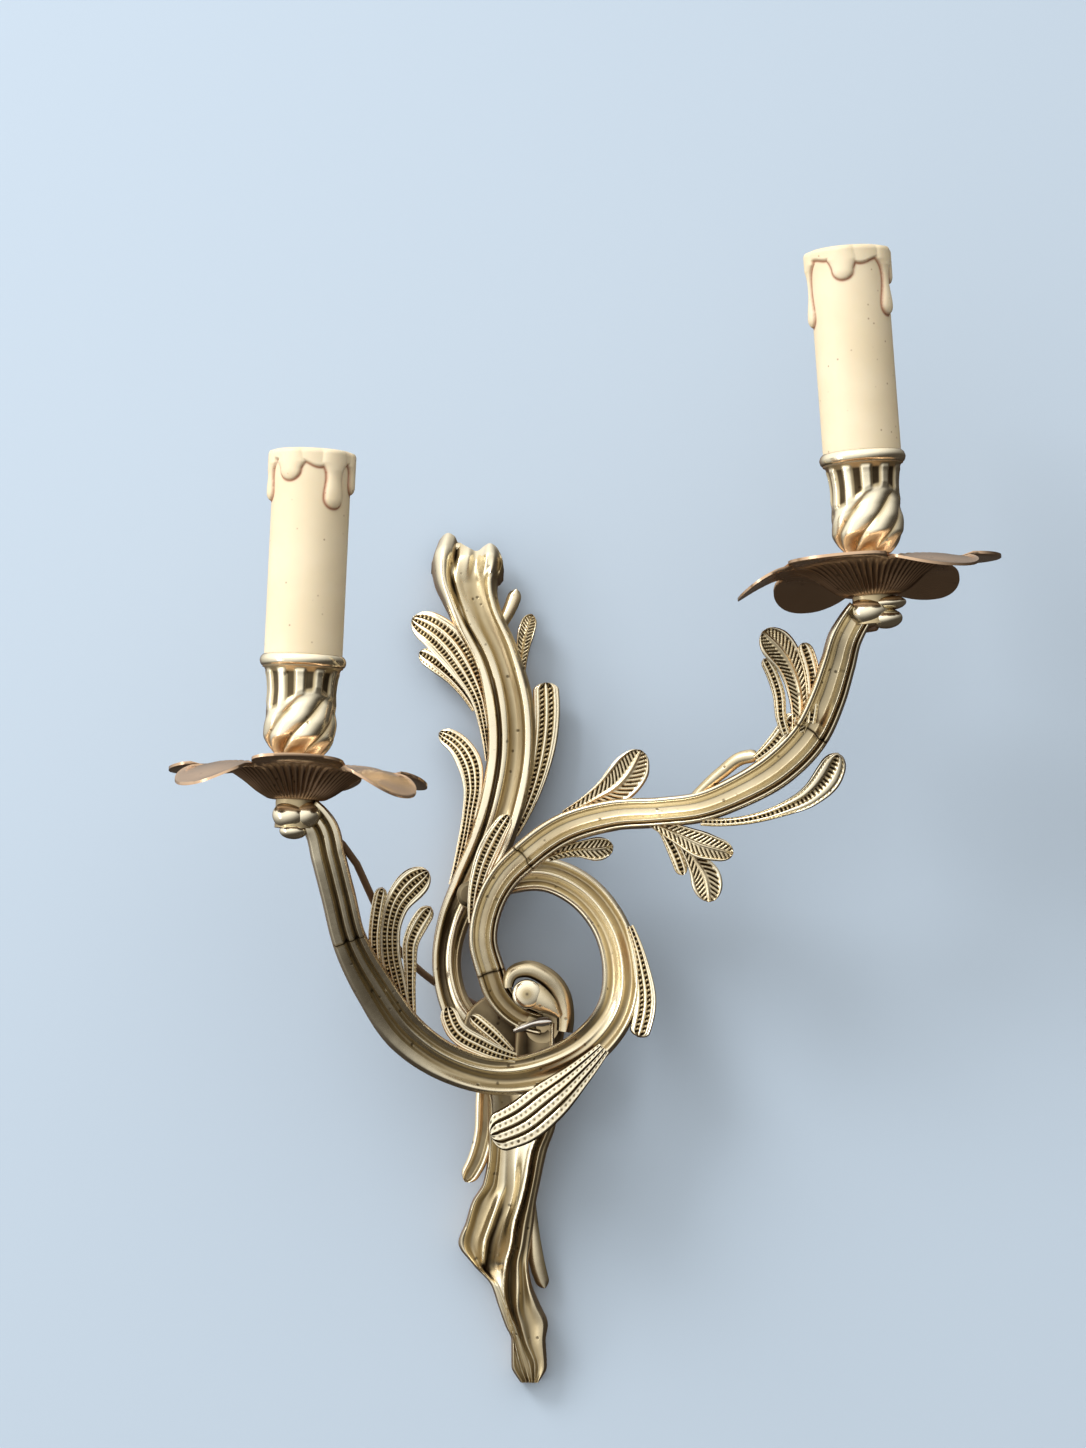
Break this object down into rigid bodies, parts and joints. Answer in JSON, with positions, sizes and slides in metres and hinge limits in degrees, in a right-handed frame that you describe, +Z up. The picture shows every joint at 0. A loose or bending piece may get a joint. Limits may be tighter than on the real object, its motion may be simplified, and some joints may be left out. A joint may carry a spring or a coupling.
{
  "type": "candle wall sconce",
  "caption": "Rococo wall sconce in cast brass: scrolled leaf backplate with curling arms that carry petalled drip pans, fluted cups and candle-shaped sleeves over screw lampholders.",
  "frame": {"origin": "centre of the hanging hole in the steel strap, 2.75 mm in front of the wall", "axes": "+X to the viewer's right, +Y into the wall, +Z up; the wall is the plane Y = 2.75 mm"},
  "size_m": [0.2579, 0.1354, 0.3677],
  "materials": {
    "cast_brass": "aged gilt with dark patina in the hollows",
    "sheet_brass": "aged, brown patina",
    "plain_brass": "plain turned",
    "steel": "zinc plated, dull",
    "candle": "cream wax, slightly soiled",
    "bakelite": "moulded black",
    "nylon": "moulded off-white",
    "flex": "brown sheathed flex"
  },
  "bodies": {
    "sconce": {"backplate": "cast_brass", "centre_scroll": "cast_brass", "right_arm_lower": "cast_brass", "right_arm_middle": "cast_brass", "right_arm_upper": "cast_brass", "left_arm_ring": "cast_brass", "left_arm_upper": "cast_brass", "right_flex": "flex", "left_flex": "flex", "hanger_strap": "steel", "hanger_screws": "steel", "arm_bolts": "steel", "earth_screw": "plain_brass", "terminal_block": "nylon", "terminal_barrels": "plain_brass", "terminal_clamp_screws": "steel", "terminal_fixing_screw": "steel", "left_nipple": "plain_brass", "left_drip_pan": "sheet_brass", "left_collar": "cast_brass", "left_candle_cup": "cast_brass", "left_lock_nut": "plain_brass", "left_lampholder_body": "bakelite", "left_lampholder_shell": "plain_brass", "left_lampholder_contact": "plain_brass", "right_nipple": "plain_brass", "right_drip_pan": "sheet_brass", "right_collar": "cast_brass", "right_candle_cup": "cast_brass", "right_lock_nut": "plain_brass", "right_lampholder_body": "bakelite", "right_lampholder_shell": "plain_brass", "right_lampholder_contact": "plain_brass"},
    "left_sleeve": {"left_candle_sleeve": "candle"},
    "right_sleeve": {"right_candle_sleeve": "candle"}
  },
  "joints": [
    {"name": "left_sleeve_lift", "type": "slide", "parent": "sconce", "child": "left_sleeve", "axis": [0.0436, 0, 0.999], "range_m": [0, 0.072]},
    {"name": "right_sleeve_lift", "type": "slide", "parent": "sconce", "child": "right_sleeve", "axis": [-0.0698, 0, 0.9976], "range_m": [0, 0.072]}
  ]
}
